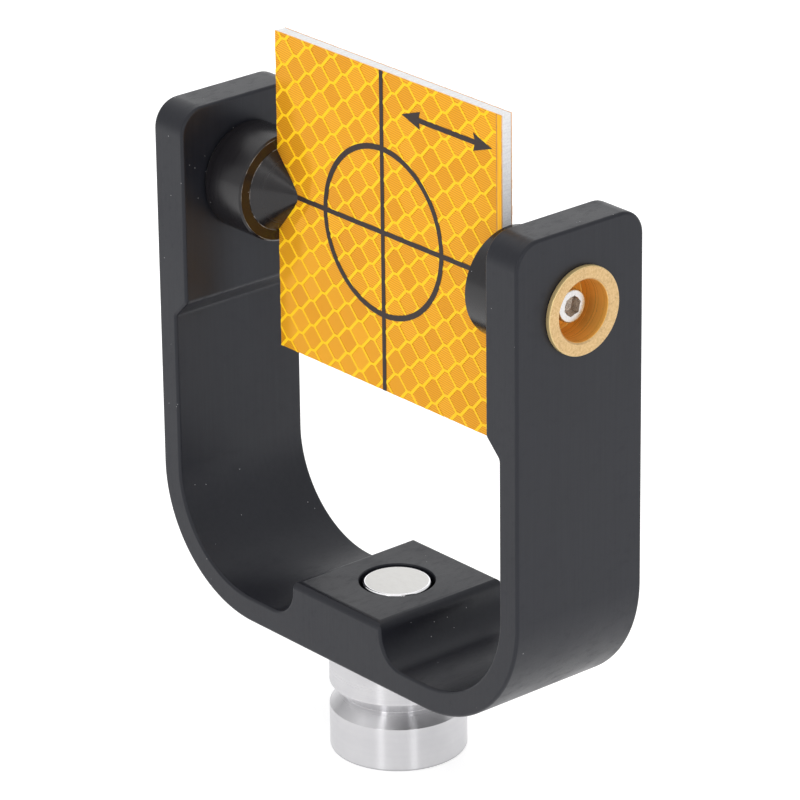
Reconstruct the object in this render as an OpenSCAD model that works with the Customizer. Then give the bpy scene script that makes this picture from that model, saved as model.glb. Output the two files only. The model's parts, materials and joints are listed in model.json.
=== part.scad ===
// Tilting survey target: a square reflective plate held between two hubs in a
// U-shaped yoke, which swivels on a cylindrical socket for a pole thread.
//
// Origin: centre of the socket's bottom face. +Z up. +X along the tilt axis.
// The printed side of the plate faces -Y.

/* [Target plate] */
// Side of the square plate, which sets the spacing of the hubs
plate_size = 60; // [40:1:80]
// Thickness of the plate's core
core_t = 2; // [1.5:0.1:3]
// Thickness of each reflective sheet
sheet_t = 0.25; // [0.2:0.05:0.4]

/* [Tilt hubs] */
// Diameter of a hub
hub_d = 20; // [17:0.5:24]
// Length of a hub, from the plate's edge towards the arm
hub_len = 10.05; // [8:0.05:14]
// Diameter of the clamp cone where it leaves the hub
cone_d = 15.5; // [12:0.1:16]
// Height of the full clamp cone, before its slot is cut
cone_h = 6.6; // [5:0.1:9]
// Diameter of the journal that turns in the arm
journal_d = 13; // [12:0.1:14]
// Diameter of the journal's flange outside the arm
flange_d = 16; // [15:0.5:20]
// Thickness of the journal's flange
flange_t = 1; // [0.8:0.1:1.5]
// Diameter of the recess that hides the screw's head
recess_d = 11.1; // [8:0.1:11.2]

/* [Yoke] */
// Depth of the yoke, front to back
yoke_depth = 29; // [26:0.5:34]
// Thickness of an arm at the tilt axis
head_t = 8; // [7:0.1:10]
// Thickness of an arm below its step
arm_t = 4.7; // [4:0.1:6]
// Thickness of the yoke's floor
floor_t = 4.8; // [4:0.1:7]
// Outside radius of the bend between floor and arm
bend_r = 24.3; // [20:0.1:26]
// Height of the tilt axis above the yoke's underside
axis_h = 79.1; // [75:0.1:100]
// Height of an arm above the tilt axis
arm_above_axis = 15; // [12:0.5:20]
// Radius of the two top corners of an arm
arm_corner_r = 5; // [2:0.5:8]
// Height of the tilt axis above the foot of the arm's inner step
step_drop = 24.9; // [20:0.1:30]

/* [Swivel boss] */
// Width of the boss, side to side
boss_w = 24.4; // [22:0.1:28]
// Height of the boss above the yoke's floor
boss_h = 7.5; // [7.2:0.1:9]
// Radius of the fillet at the foot of the boss
boss_fillet_r = 5.5; // [2:0.5:5.5]
// Radius of the round top edges at the boss's two sides
boss_top_r = 1.5; // [0.5:0.1:2.5]
// Width of the flat cut along the boss's front and rear top edges, across or down
boss_edge_cut = 1.1; // [0.5:0.1:1.8]
// Diameter of the counterbore that holds the pin's head
counterbore_d = 13.8; // [13.4:0.1:16]
// Depth of the counterbore
counterbore_h = 5.5; // [5.3:0.1:6]

/* [Pole socket] */
// Diameter of the socket barrel
barrel_d = 25; // [22:0.5:30]
// Height of the socket barrel
barrel_h = 19.6; // [18:0.1:26]
// Height of the middle of the grip groove
groove_z = 10.75; // [9:0.05:12]
// Depth of the grip groove, whose sides are at 45 degrees
groove_h = 2.4; // [1:0.1:2.5]
// Minor diameter of the pole thread, 5/8 inch with 11 threads per inch
pole_bore_d = 13.4; // [13:0.1:14]
// Depth of the pole thread's hole
pole_bore_h = 12.5; // [10:0.1:12.5]

/* [Hidden] */
$fn = 96;

left = -1;
right = 1;
over = 1;              // how far a cut runs past the face that it opens
run_gap = 0.05;        // gap between faces that turn on each other
hub_gap = 0.05;        // gap between the plate's edge and a hub
seat_gap = 0.02;       // radial gap round pieces that are fixed together
slot_gap = 0.02;       // gap between the plate and each side of the cone's slot
rim_chamfer = 0.5;

// Places along the tilt axis, from the middle of the plate outwards
plate_half = plate_size / 2;
plate_t = core_t + 2 * sheet_t;
friction_t = 0.35;
hub_in_x = plate_half + hub_gap;
hub_out_x = hub_in_x + hub_len;
head_in_x = hub_out_x + friction_t + run_gap;
head_out_x = head_in_x + head_t;
arm_in_x = head_out_x - arm_t;
flange_in_x = head_out_x + run_gap;
flange_out_x = flange_in_x + flange_t;

// M3 cap screw, its lock washer, and the shank of the clamp cone that it pulls on
m3_r = 1.45;
m3_tapped_r = 1.5;
m3_clear_r = 1.65;
m3_head_r = 3;
m3_head_h = 3;
m3_socket_af = 3;
m3_socket_h = 2;
m3_length = 10;
lock_t = 0.8;
lock_r = 3.05;
lock_split = 0.7;
journal_floor_t = 2.6;
recess_floor_x = hub_out_x + journal_floor_t;
screw_head_x = recess_floor_x + lock_t;
cone_rim_h = 0.3;
cone_shank_r = 4;
cone_shank_x = hub_out_x - 2.1;

// Heights from the socket's bottom face upwards
thrust_t = 0.35;
thrust_r = 11;
yoke_z = barrel_h + thrust_t + run_gap;
floor_z = yoke_z + floor_t;
boss_z = floor_z + boss_h;
axis_z = yoke_z + axis_h;
arm_top_z = axis_z + arm_above_axis;
step_foot_z = axis_z - step_drop;
step_top_z = step_foot_z + arm_in_x - head_in_x;

// Pivot pin: a head in the boss, a shoulder through the floor, a threaded end in the barrel
pin_head_r = 6.2;
pin_head_h = 4.35;
pin_head_drop = 0.15;
pin_shoulder_r = 4;
pin_thread_r = 3;
pin_thread_h = 6;
pin_head_z = boss_z - pin_head_drop - pin_head_h;
counterbore_z = boss_z - counterbore_h;
spring_t = 0.4;
spring_in_r = 4.2;
spring_out_r = 6.6;

barrel_chamfer = 0.4;
pole_chamfer = 1;

// Puts a shape that is drawn along +Z along +X, on the tilt axis, on one side
module on_tilt_axis(side) {
    mirror([side < 0 ? 1 : 0, 0, 0])
        translate([0, 0, axis_z])
            rotate([0, 90, 0])
                children();
}

// Turned shape whose outline is given as [radius, height] points
module turned(outline) {
    rotate_extrude()
        polygon(outline);
}

module tube(outer_r, inner_r, low, high) {
    turned([[inner_r, low], [outer_r, low], [outer_r, high], [inner_r, high]]);
}

module rod(radius, low, high) {
    translate([0, 0, low])
        cylinder(r = radius, h = high - low);
}

// Extrudes an outline in the XZ plane along Y, centred on Y = 0
module along_y(depth) {
    rotate([90, 0, 0])
        linear_extrude(depth, center = true)
            children();
}

// Rectangle from the bottom z up to the top z whose two bottom corners are round
module cradle_outline(half_w, bottom, top, corner_r) {
    translate([-half_w, bottom + corner_r])
        square([2 * half_w, top - bottom - corner_r]);
    translate([corner_r - half_w, bottom])
        square([2 * (half_w - corner_r), corner_r + over]);
    for (side = [left, right])
        translate([side * (half_w - corner_r), bottom + corner_r])
            circle(r = corner_r);
}

// Space between the arms: a round-bottomed trough, a 45 degree step, and the heads' gap
module yoke_gap_outline() {
    cradle_outline(arm_in_x, floor_z, step_foot_z, bend_r - arm_t);
    polygon([
        [-arm_in_x, step_foot_z - over], [arm_in_x, step_foot_z - over],
        [arm_in_x, step_foot_z], [head_in_x, step_top_z],
        [head_in_x, arm_top_z + over], [-head_in_x, arm_top_z + over],
        [-head_in_x, step_top_z], [-arm_in_x, step_foot_z]
    ]);
}

// Boss on the floor with a fillet at each foot and round top edges
module boss_outline() {
    foot_half = boss_w / 2 + boss_fillet_r;
    translate([-boss_w / 2, floor_z - over])
        square([boss_w, boss_h + over - boss_top_r]);
    translate([boss_top_r - boss_w / 2, floor_z - over])
        square([boss_w - 2 * boss_top_r, boss_h + over]);
    for (side = [left, right])
        translate([side * (boss_w / 2 - boss_top_r), boss_z - boss_top_r])
            circle(r = boss_top_r);
    difference() {
        translate([-foot_half, floor_z - over])
            square([2 * foot_half, boss_fillet_r + over]);
        for (side = [left, right])
            translate([side * foot_half, floor_z + boss_fillet_r])
                circle(r = boss_fillet_r);
    }
}

module yoke_outline() {
    difference() {
        cradle_outline(head_out_x, yoke_z, arm_top_z, bend_r);
        yoke_gap_outline();
    }
    boss_outline();
}

// Side view of the yoke, with round corners at the arms' tops
module yoke_side_outline() {
    half_flat = yoke_depth / 2 - arm_corner_r;
    translate([-yoke_depth / 2, yoke_z])
        square([yoke_depth, arm_top_z - yoke_z - arm_corner_r]);
    translate([-half_flat, yoke_z])
        square([2 * half_flat, arm_top_z - yoke_z]);
    for (side = [left, right])
        translate([side * half_flat, arm_top_z - arm_corner_r])
            circle(r = arm_corner_r);
}

// Cuts the boss's long top edges at the front and the back
module boss_edge_cuts() {
    cut_len = boss_w + 2 * boss_fillet_r;
    cut_side = boss_edge_cut * sqrt(2);
    for (side = [left, right])
        translate([0, side * yoke_depth / 2, boss_z])
            rotate([45, 0, 0])
                cube([cut_len, cut_side, cut_side], center = true);
}

module yoke() {
    color("#2b2b2d")
        difference() {
            intersection() {
                along_y(yoke_depth)
                    yoke_outline();
                rotate([90, 0, 90])
                    linear_extrude(2 * head_out_x, center = true)
                        yoke_side_outline();
            }
            boss_edge_cuts();
            rod(pin_shoulder_r + run_gap, yoke_z - over, boss_z + over);
            rod(counterbore_d / 2, counterbore_z, boss_z + over);
            for (side = [left, right])
                on_tilt_axis(side)
                    rod(journal_d / 2 + run_gap, head_in_x - over, head_out_x + over);
        }
}

module socket_barrel() {
    r = barrel_d / 2;
    bore_r = pole_bore_d / 2;
    stud_r = pin_thread_r + run_gap;
    color("#c8cacc")
        turned([
            [bore_r + pole_chamfer, 0],
            [r - barrel_chamfer, 0], [r, barrel_chamfer],
            [r, groove_z - groove_h], [r - groove_h, groove_z], [r, groove_z + groove_h],
            [r, barrel_h - barrel_chamfer], [r - barrel_chamfer, barrel_h],
            [stud_r, barrel_h], [stud_r, pole_bore_h],
            [bore_r, pole_bore_h], [bore_r, pole_chamfer]
        ]);
}

module thrust_washer() {
    color("#e6e2d4")
        tube(thrust_r, pin_shoulder_r + run_gap, barrel_h, barrel_h + thrust_t);
}

module pivot_pin() {
    color("#d2d0cb")
        turned([
            [0, barrel_h - pin_thread_h], [pin_thread_r - rim_chamfer, barrel_h - pin_thread_h],
            [pin_thread_r, barrel_h - pin_thread_h + rim_chamfer], [pin_thread_r, barrel_h],
            [pin_shoulder_r, barrel_h], [pin_shoulder_r, pin_head_z],
            [pin_head_r, pin_head_z],
            [pin_head_r, pin_head_z + pin_head_h - rim_chamfer],
            [pin_head_r - rim_chamfer, pin_head_z + pin_head_h], [0, pin_head_z + pin_head_h]
        ]);
}

// Coned washer, high at its inner edge, that keeps the swivel stiff
module spring_washer() {
    rise = pin_head_z - counterbore_z - spring_t - run_gap;
    low = counterbore_z + run_gap;
    color("#9a9ca0")
        turned([
            [spring_in_r, low + rise], [spring_out_r, low],
            [spring_out_r, low + spring_t], [spring_in_r, low + rise + spring_t]
        ]);
}

module plate_core() {
    color("#dedede")
        translate([0, 0, axis_z])
            cube([plate_size, core_t, plate_size], center = true);
}

module reflective_sheet(side) {
    color("#f0a92c")
        translate([0, side * (core_t + sheet_t) / 2, axis_z])
            cube([plate_size, sheet_t, plate_size], center = true);
}

module front_sheet() {
    reflective_sheet(-1);
}

module rear_sheet() {
    reflective_sheet(1);
}

// Hub with a shallow seat for the cone's rim, a bore for its shank and a hole for the screw
module hub(side) {
    r = hub_d / 2;
    seat_x = plate_half + cone_rim_h + seat_gap;
    color("#262628")
        on_tilt_axis(side)
            turned([
                [cone_d / 2 + seat_gap, hub_in_x],
                [r - rim_chamfer, hub_in_x], [r, hub_in_x + rim_chamfer],
                [r, hub_out_x - rim_chamfer], [r - rim_chamfer, hub_out_x],
                [m3_clear_r, hub_out_x], [m3_clear_r, cone_shank_x + seat_gap],
                [cone_shank_r + seat_gap, cone_shank_x + seat_gap],
                [cone_shank_r + seat_gap, seat_x],
                [cone_d / 2 + seat_gap, seat_x]
            ]);
}

module friction_washer(side) {
    color("#3a3a38")
        on_tilt_axis(side)
            tube(hub_d / 2 - rim_chamfer, journal_d / 2 + seat_gap, hub_out_x, hub_out_x + friction_t);
}

// Cone that grips the plate in a slot, and is drawn into the hub by the screw
module clamp_cone(side) {
    slot_w = plate_t + 2 * slot_gap;
    color("#262628")
        difference() {
            on_tilt_axis(side)
                turned([
                    [0, plate_half - cone_h], [cone_d / 2, plate_half],
                    [cone_d / 2, plate_half + cone_rim_h],
                    [cone_shank_r, plate_half + cone_rim_h],
                    [cone_shank_r, cone_shank_x], [m3_tapped_r, cone_shank_x],
                    [m3_tapped_r, screw_head_x - m3_length - over],
                    [0, screw_head_x - m3_length - over]
                ]);
            translate([side * (plate_half - cone_h / 2), 0, axis_z])
                cube([cone_h + 2 * slot_gap, slot_w, cone_d + over], center = true);
        }
}

// Brass cup that turns in the arm, with a flange outside and the screw's head inside
module journal(side) {
    flange_chamfer = 0.3;
    recess_chamfer = 0.2;
    color("#d9a94f")
        on_tilt_axis(side)
            turned([
                [m3_clear_r, hub_out_x],
                [journal_d / 2, hub_out_x], [journal_d / 2, flange_in_x],
                [flange_d / 2, flange_in_x], [flange_d / 2, flange_out_x - flange_chamfer],
                [flange_d / 2 - flange_chamfer, flange_out_x],
                [recess_d / 2 + recess_chamfer, flange_out_x],
                [recess_d / 2, flange_out_x - recess_chamfer],
                [recess_d / 2, recess_floor_x], [m3_clear_r, recess_floor_x]
            ]);
}

module screw(side) {
    head_chamfer = 0.3;
    head_end_x = screw_head_x + m3_head_h;
    color("#b9bbbe")
        on_tilt_axis(side)
            difference() {
                turned([
                    [0, screw_head_x - m3_length],
                    [m3_r - head_chamfer, screw_head_x - m3_length],
                    [m3_r, screw_head_x - m3_length + head_chamfer],
                    [m3_r, screw_head_x], [m3_head_r, screw_head_x],
                    [m3_head_r, head_end_x - head_chamfer],
                    [m3_head_r - head_chamfer, head_end_x], [0, head_end_x]
                ]);
                translate([0, 0, head_end_x - m3_socket_h])
                    cylinder(d = m3_socket_af / cos(30), h = m3_socket_h + over, $fn = 6);
            }
}

module lock_washer(side) {
    color("#8f9195")
        on_tilt_axis(side)
            difference() {
                tube(lock_r, m3_r + seat_gap, recess_floor_x, screw_head_x);
                translate([0, -lock_split / 2, recess_floor_x - over])
                    cube([2 * lock_r, lock_split, lock_t + 2 * over]);
            }
}

socket_barrel();
thrust_washer();
pivot_pin();
spring_washer();
yoke();
plate_core();
front_sheet();
rear_sheet();
hub(left);  // hub_left
friction_washer(left);  // friction_washer_left
clamp_cone(left);  // clamp_cone_left
journal(left);  // journal_left
screw(left);  // screw_left
lock_washer(left);  // lock_washer_left
hub(right);  // hub_right
friction_washer(right);  // friction_washer_right
clamp_cone(right);  // clamp_cone_right
journal(right);  // journal_right
screw(right);  // screw_right
lock_washer(right);  // lock_washer_right
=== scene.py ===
"""Looks of a tilting survey target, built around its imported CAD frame.

Lengths in the mesh code are millimetres; mesh_piece() turns them into metres.
"""
import json
import math
import random

import bmesh
import bpy
from mathutils import Matrix, Vector


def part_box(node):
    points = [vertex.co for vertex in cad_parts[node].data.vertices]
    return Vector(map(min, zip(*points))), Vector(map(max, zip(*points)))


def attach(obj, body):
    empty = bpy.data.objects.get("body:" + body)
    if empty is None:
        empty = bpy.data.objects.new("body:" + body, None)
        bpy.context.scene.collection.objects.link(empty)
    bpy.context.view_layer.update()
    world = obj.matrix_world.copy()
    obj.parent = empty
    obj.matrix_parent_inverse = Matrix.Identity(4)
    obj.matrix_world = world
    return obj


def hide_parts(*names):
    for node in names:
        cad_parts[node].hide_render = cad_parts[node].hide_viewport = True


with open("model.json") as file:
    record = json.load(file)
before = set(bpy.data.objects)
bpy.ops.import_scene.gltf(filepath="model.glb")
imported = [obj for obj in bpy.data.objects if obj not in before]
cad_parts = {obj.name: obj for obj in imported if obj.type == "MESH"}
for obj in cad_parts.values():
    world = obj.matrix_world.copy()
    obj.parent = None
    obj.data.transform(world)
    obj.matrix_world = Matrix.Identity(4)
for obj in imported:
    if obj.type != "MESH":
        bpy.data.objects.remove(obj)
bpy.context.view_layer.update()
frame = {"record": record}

# ---------------------------------------------------------------- sizes, from the CAD frame


def box_mm(node):
    """Lowest and highest corner of a CAD node, in millimetres."""
    low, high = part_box(node)
    return low * 1000, high * 1000


MM = 0.001
TURN = 2 * math.pi

plate_low, plate_high = box_mm("plate_core")
yoke_low, yoke_high = box_mm("yoke")
barrel_high = box_mm("socket_barrel")[1]
thrust_low, thrust_high = box_mm("thrust_washer")
pin_low, pin_high = box_mm("pivot_pin")
spring_low, spring_high = box_mm("spring_washer")
hub_low, hub_high = box_mm("hub_right")
cone_high = box_mm("clamp_cone_right")[1]
journal_low, journal_high = box_mm("journal_right")
friction_low, friction_high = box_mm("friction_washer_right")
screw_low, screw_high = box_mm("screw_right")
lock_low, lock_high = box_mm("lock_washer_right")

PLATE_HALF = plate_high.x
CORE_FACE = plate_high.y
SHEET_FACE = box_mm("rear_sheet")[1].y
AXIS_Z = (plate_low.z + plate_high.z) / 2

# Sizes that a node's box doesn't give, the same as in the CAD source
ARM_T = 4.7
HEAD_IN_X = friction_high.x + 0.05
FLOOR_T = 4.8
BEND_R = 24.3
STEP_FOOT_Z = AXIS_Z - 24.9
ARM_CORNER_R = 5
BOSS_HALF = 12.2
BOSS_TOP_Z = yoke_low.z + 12.3
BOSS_TOP_R = 1.5
BOSS_FOOT_R = 5.5
COUNTERBORE_R = 6.9
COUNTERBORE_Z = BOSS_TOP_Z - 5.5
SHOULDER_R = 4
RUN_GAP = 0.05
JOURNAL_R = 6.5
FLANGE_T = 1
RECESS_R = 5.55
CONE_R = 7.75
CONE_H = 6.6
CONE_RIM = 0.3
CONE_SHANK_R = 4
M3_R = 1.45
M3_TAPPED_R = 1.5
M3_CLEAR_R = 1.65
M3_HEAD_H = 3
M3_SOCKET_H = 2
PIN_HEAD_H = 4.35
PIN_THREAD_R = 3
SPRING_IN_R = 4.2
SPRING_T = 0.4
GROOVE_Z = 10.75
GROOVE_H = 2.4
POLE_BORE_R = 6.7
POLE_BORE_H = 12.5

# Shapes that the CAD leaves out or simplifies
EDGE_ROUND = 0.6
STEP_ROUND = 1.2
BOSS_EDGE_R = 1.6
BOSS_MOUTH_ROUND = 0.35
BORE_MOUTH_ROUND = 0.3
RECESS_CHAMFER = 0.35
HUB_CHAMFER = 0.35
WASHER_ROUND = 0.08
PIN_RIM_R = 0.45
SOCKET_AF = 3.35
SOCKET_TURN = 45
KNURL_RIDGES = 36

# Threads: pitch, and how far each one stops short of its screw's ends
M3_PITCH = 0.5
M3_TIP = 0.3
M3_UNDERCUT = 0.4
M6_PITCH = 1
M6_TIP = 0.6
POLE_PITCH = 25.4 / 11

# How the mesh code works
ARC_STEP = 0.9      # longest straight piece of a rounded corner
ROUND_SEGMENTS = 96
FINE_SEGMENTS = 128
SHARP_DEG = 35      # edges that turn more than this stay sharp
WORN_HIGHLIGHT_WIDTH = 0.12   # bands of a turned piece narrower than this are its worn edges, which the black turned finish lightens with a painted highlight
SAME = 1e-6         # values closer than this are one value
METRE_SAME = 1e-7   # the same for finished meshes, which are in metres
SEAT_GAP = 0.02     # gap round pieces that are fixed together
BEYOND = 1          # how far a cutter runs past what it cuts

# ---------------------------------------------------------------- mesh helpers


def rounded(corners, fewest=4):
    """Closed outline from (a, b, radius) corners: each becomes an arc that touches its two sides."""
    points = []
    for i, (a, b, radius) in enumerate(corners):
        corner = Vector((a, b))
        if radius == 0:
            points.append((a, b))
            continue
        to_last = (Vector(corners[i - 1][:2]) - corner).normalized()
        to_next = (Vector(corners[(i + 1) % len(corners)][:2]) - corner).normalized()
        half = to_last.angle(to_next) / 2
        centre = corner + (to_last + to_next).normalized() * (radius / math.sin(half))
        start = corner + to_last * (radius / math.tan(half)) - centre
        end = corner + to_next * (radius / math.tan(half)) - centre
        first = math.atan2(start.y, start.x)
        sweep = (math.atan2(end.y, end.x) - first + math.pi) % TURN - math.pi
        steps = max(fewest, math.ceil(abs(sweep) * radius / ARC_STEP))
        for k in range(steps + 1):
            angle = first + sweep * k / steps
            points.append((centre.x + radius * math.cos(angle), centre.y + radius * math.sin(angle)))
    return points


def revolve(bm, outline, segments=ROUND_SEGMENTS, radius_at=None):
    """Adds the surface that a closed outline of (radius, height) points sweeps about local Z."""
    # Faces of narrow bands are marked for the worn edges that get a painted highlight
    worn_edge_highlight = bm.faces.layers.float.get("worn_edge_highlight") or bm.faces.layers.float.new("worn_edge_highlight")
    rings = []
    for radius, height in outline:
        ring = []
        for s in range(segments if radius > SAME else 1):
            angle = TURN * s / segments
            r = radius_at(radius, height, angle) if radius_at else radius
            ring.append(bm.verts.new((r * math.cos(angle), r * math.sin(angle), height)))
        rings.append(ring)
    for k, (ring, after) in enumerate(zip(rings, rings[1:] + rings[:1])):
        if len(ring) == 1 and len(after) == 1:
            continue
        narrow = math.dist(outline[k], outline[(k + 1) % len(outline)]) < WORN_HIGHLIGHT_WIDTH
        for s in range(segments):
            t = (s + 1) % segments
            corners = [ring[s % len(ring)], ring[t % len(ring)]]
            corners += [after[t % len(after)], after[s % len(after)]]
            face = bm.faces.new(list(dict.fromkeys(corners)))
            face[worn_edge_highlight] = 1.0 if narrow else 0.0
    bmesh.ops.recalc_face_normals(bm, faces=bm.faces[:])


def helix(nominal, depth, pitch, low, high):
    """Radius function of a screw thread cut depth deep (or grown, if negative) between two heights."""
    crest, flank = 0.125, 0.7

    def radius_at(radius, height, angle):
        if abs(radius - nominal) > SAME or not low <= height <= high:
            return radius
        phase = (height / pitch - angle / TURN) % 1
        profile = min(1, max(0, (abs(2 * phase - 1) - crest) / flank))
        fade = min(1, (height - low) / pitch, (high - height) / pitch)
        return radius - depth * profile * fade

    return radius_at


def stretch(radius, start, end, step):
    """Points along a straight threaded stretch, from start to end."""
    count = math.ceil(abs(end - start) / step)
    return [(radius, start + (end - start) * k / count) for k in range(count + 1)]


def mesh_piece(name, bm):
    """New object from a bmesh in millimetres."""
    bmesh.ops.scale(bm, vec=(MM, MM, MM), verts=bm.verts[:])
    mesh = bpy.data.meshes.new(name)
    bm.to_mesh(mesh)
    bm.free()
    piece = bpy.data.objects.new(name, mesh)
    bpy.context.scene.collection.objects.link(piece)
    return piece


def prism(outline, travel):
    """Bmesh of a flat outline of (x, y, z) points drawn out along a vector."""
    bm = bmesh.new()
    face = bm.faces.new([bm.verts.new(point) for point in outline])
    moved = bmesh.ops.extrude_face_region(bm, geom=[face])["geom"]
    far = [v for v in moved if isinstance(v, bmesh.types.BMVert)]
    bmesh.ops.translate(bm, vec=travel, verts=far)
    bmesh.ops.recalc_face_normals(bm, faces=bm.faces[:])
    return bm


def block(size, centre):
    """Bmesh of a box of a size about a centre."""
    bm = bmesh.new()
    bmesh.ops.create_cube(bm, size=1)
    bm.transform(Matrix.Translation(centre) @ Matrix.Diagonal((*size, 1)))
    return bm


def on_tilt_axis(side):
    """Matrix that lays local Z along the tilt axis, outwards to that side (-1 left, 1 right)."""
    turn = Matrix.Rotation(0 if side > 0 else math.pi, 4, "Z") @ Matrix.Rotation(math.pi / 2, 4, "Y")
    return Matrix.Translation((0, 0, AXIS_Z)) @ turn


def turned_piece(name, outline, place=None, segments=ROUND_SEGMENTS, radius_at=None):
    """New object turned from a closed outline of (radius, height) points, moved by the matrix place."""
    bm = bmesh.new()
    revolve(bm, outline, segments, radius_at)
    if place:
        bm.transform(place)
    return mesh_piece(name, bm)


def cut(piece, cutter, operation="DIFFERENCE"):
    """Applies one exact boolean to piece and deletes the cutter."""
    modifier = piece.modifiers.new("cut", "BOOLEAN")
    modifier.operation = operation
    modifier.solver = "EXACT"
    modifier.object = cutter
    bpy.context.view_layer.update()
    depsgraph = bpy.context.evaluated_depsgraph_get()
    result = bpy.data.meshes.new_from_object(piece.evaluated_get(depsgraph))
    piece.modifiers.remove(modifier)
    piece.data = result
    bpy.data.objects.remove(cutter)


def smooth(piece):
    """Smooth faces, with sharp edges kept and wide flat faces left flat by weighted normals."""
    bm = bmesh.new()
    bm.from_mesh(piece.data)
    bmesh.ops.remove_doubles(bm, verts=bm.verts[:], dist=METRE_SAME)
    for face in bm.faces:
        face.smooth = True
    for edge in bm.edges:
        edge.smooth = len(edge.link_faces) == 2 and edge.calc_face_angle() < math.radians(SHARP_DEG)
    bm.to_mesh(piece.data)
    bm.free()
    weighted = piece.modifiers.new("weighted_normals", "WEIGHTED_NORMAL")
    weighted.keep_sharp = True


def stands_for(piece, node, material):
    """Puts a finished piece in the place of its CAD node. No material means that it has its own already."""
    if material:
        piece.data.materials.clear()
        piece.data.materials.append(material)
    smooth(piece)
    for body, members in frame["record"]["behaviour"]["bodies"].items():
        if node in members:
            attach(piece, body)
    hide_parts(node)


# ---------------------------------------------------------------- material helpers


NOISE_LOW, NOISE_HIGH = 0.3, 0.7   # the range that a noise texture mostly stays in


class Shade:
    """A node material with a Principled shader, and short ways to add texture nodes."""

    # sockets of a colour mix node, which have the same names as its number sockets
    COLOUR_A, COLOUR_B, COLOUR_OUT = 6, 7, 2

    def __init__(self, name):
        self.material = bpy.data.materials.new(name)
        self.material.use_nodes = True
        self.tree = self.material.node_tree
        self.shader = self.tree.nodes["Principled BSDF"]

    def node(self, kind, inputs=None, **settings):
        made = self.tree.nodes.new(kind)
        for key, value in settings.items():
            setattr(made, key, value)
        for key, value in (inputs or {}).items():
            self.feed(made.inputs[key], value)
        return made

    def feed(self, socket, value):
        if isinstance(value, bpy.types.NodeSocket):
            self.tree.links.new(value, socket)
        else:
            socket.default_value = value

    def set(self, **values):
        """Sets or links sockets of the shader, with _ for a space in a socket's name."""
        for key, value in values.items():
            self.feed(self.shader.inputs[key.replace("_", " ")], value)

    def place(self, scale=(1, 1, 1), turn=(0, 0, 0)):
        """Object coordinates in millimetres, scaled and turned."""
        where = self.node("ShaderNodeTexCoord").outputs["Object"]
        size = [s / MM for s in scale]
        return self.node("ShaderNodeMapping", {"Vector": where, "Scale": size, "Rotation": turn}).outputs[0]

    def about(self, axis, centre_z=0):
        """(height, radius, 0) in millimetres about the X or Z axis, the same all round a turned piece."""
        where = self.node("ShaderNodeTexCoord").outputs["Object"]
        apart = self.node("ShaderNodeSeparateXYZ", {"Vector": where}).outputs
        if axis == "X":
            up = self.math("SUBTRACT", apart["Z"], centre_z * MM)
            around = {"X": apart["Y"], "Y": up}
        else:
            around = {"X": apart["X"], "Y": apart["Y"]}
        flat = self.node("ShaderNodeCombineXYZ", around).outputs[0]
        radius = self.node("ShaderNodeVectorMath", {0: flat}, operation="LENGTH").outputs["Value"]
        both = self.node("ShaderNodeCombineXYZ", {"X": apart[axis], "Y": radius}).outputs[0]
        return self.node("ShaderNodeVectorMath", {0: both, "Scale": 1 / MM}, operation="SCALE").outputs[0]

    def split(self, vector):
        """Outputs X, Y and Z of a vector."""
        return self.node("ShaderNodeSeparateXYZ", {0: vector}).outputs

    def attribute(self, name):
        """Number that the mesh code stored for each face."""
        return self.node("ShaderNodeAttribute", attribute_name=name).outputs["Fac"]

    def drawn_round(self, axis, amount):
        """Reflections drawn out across the turning marks about an axis."""
        self.set(Anisotropic=amount, Anisotropic_Rotation=0.25)
        self.set(Tangent=self.node("ShaderNodeTangent", direction_type="RADIAL", axis=axis).outputs[0])

    def math(self, operation, a, b=0.0):
        return self.node("ShaderNodeMath", {0: a, 1: b}, operation=operation).outputs[0]

    def noise(self, where, scale, detail=2.0, rough=0.5):
        settings = {"Vector": where, "Scale": scale, "Detail": detail, "Roughness": rough}
        return self.node("ShaderNodeTexNoise", settings).outputs["Fac"]

    def ramp(self, value, low_colour, high_colour, low=NOISE_LOW, high=NOISE_HIGH):
        """Colour that goes from one (r, g, b) to another as value goes from low to high."""
        made = self.node("ShaderNodeValToRGB", {"Fac": value})
        stops = zip(made.color_ramp.elements, (low, high), (low_colour, high_colour))
        for element, position, colour in stops:
            element.position = position
            element.color = (*colour, 1)
        return made.outputs["Color"]

    def between(self, value, to_low, to_high, low=NOISE_LOW, high=NOISE_HIGH):
        """Number that goes from to_low to to_high as value goes from low to high."""
        settings = {"Value": value, "From Min": low, "From Max": high, "To Min": to_low, "To Max": to_high}
        return self.node("ShaderNodeMapRange", settings).outputs["Result"]

    def mix(self, factor, a, b):
        settings = {"Factor": factor, self.COLOUR_A: a, self.COLOUR_B: b}
        return self.node("ShaderNodeMix", settings, data_type="RGBA").outputs[self.COLOUR_OUT]

    def specks(self, cells_per_mm, size, share):
        """Mask of scattered dots: one in a share of the cells, of a radius in cell widths."""
        where = self.place()
        cells = self.node("ShaderNodeTexVoronoi", {"Vector": where, "Scale": cells_per_mm})
        dot = self.math("LESS_THAN", cells.outputs["Distance"], size)
        pick = self.node("ShaderNodeSeparateColor", {0: cells.outputs["Color"]}).outputs[0]
        return self.math("MULTIPLY", dot, self.math("LESS_THAN", pick, share))

    def near(self, point, reach):
        """1 at a point in millimetres, falling to 0 at a distance of reach."""
        away = self.node("ShaderNodeVectorMath", {0: self.place(), 1: point}, operation="DISTANCE")
        return self.between(away.outputs["Value"], 1, 0, low=0, high=reach)

    def bump(self, height, depth_mm, below=None):
        settings = {"Height": height, "Distance": depth_mm * MM, "Strength": 1.0}
        if below:
            settings["Normal"] = below
        return self.node("ShaderNodeBump", settings).outputs["Normal"]


# ---------------------------------------------------------------- materials


DUST_CELLS = 0.9    # cells per millimetre, each of which may hold one speck
DUST_SIZE = 0.085
DUST_TONE = (0.30, 0.30, 0.31, 1)


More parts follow.
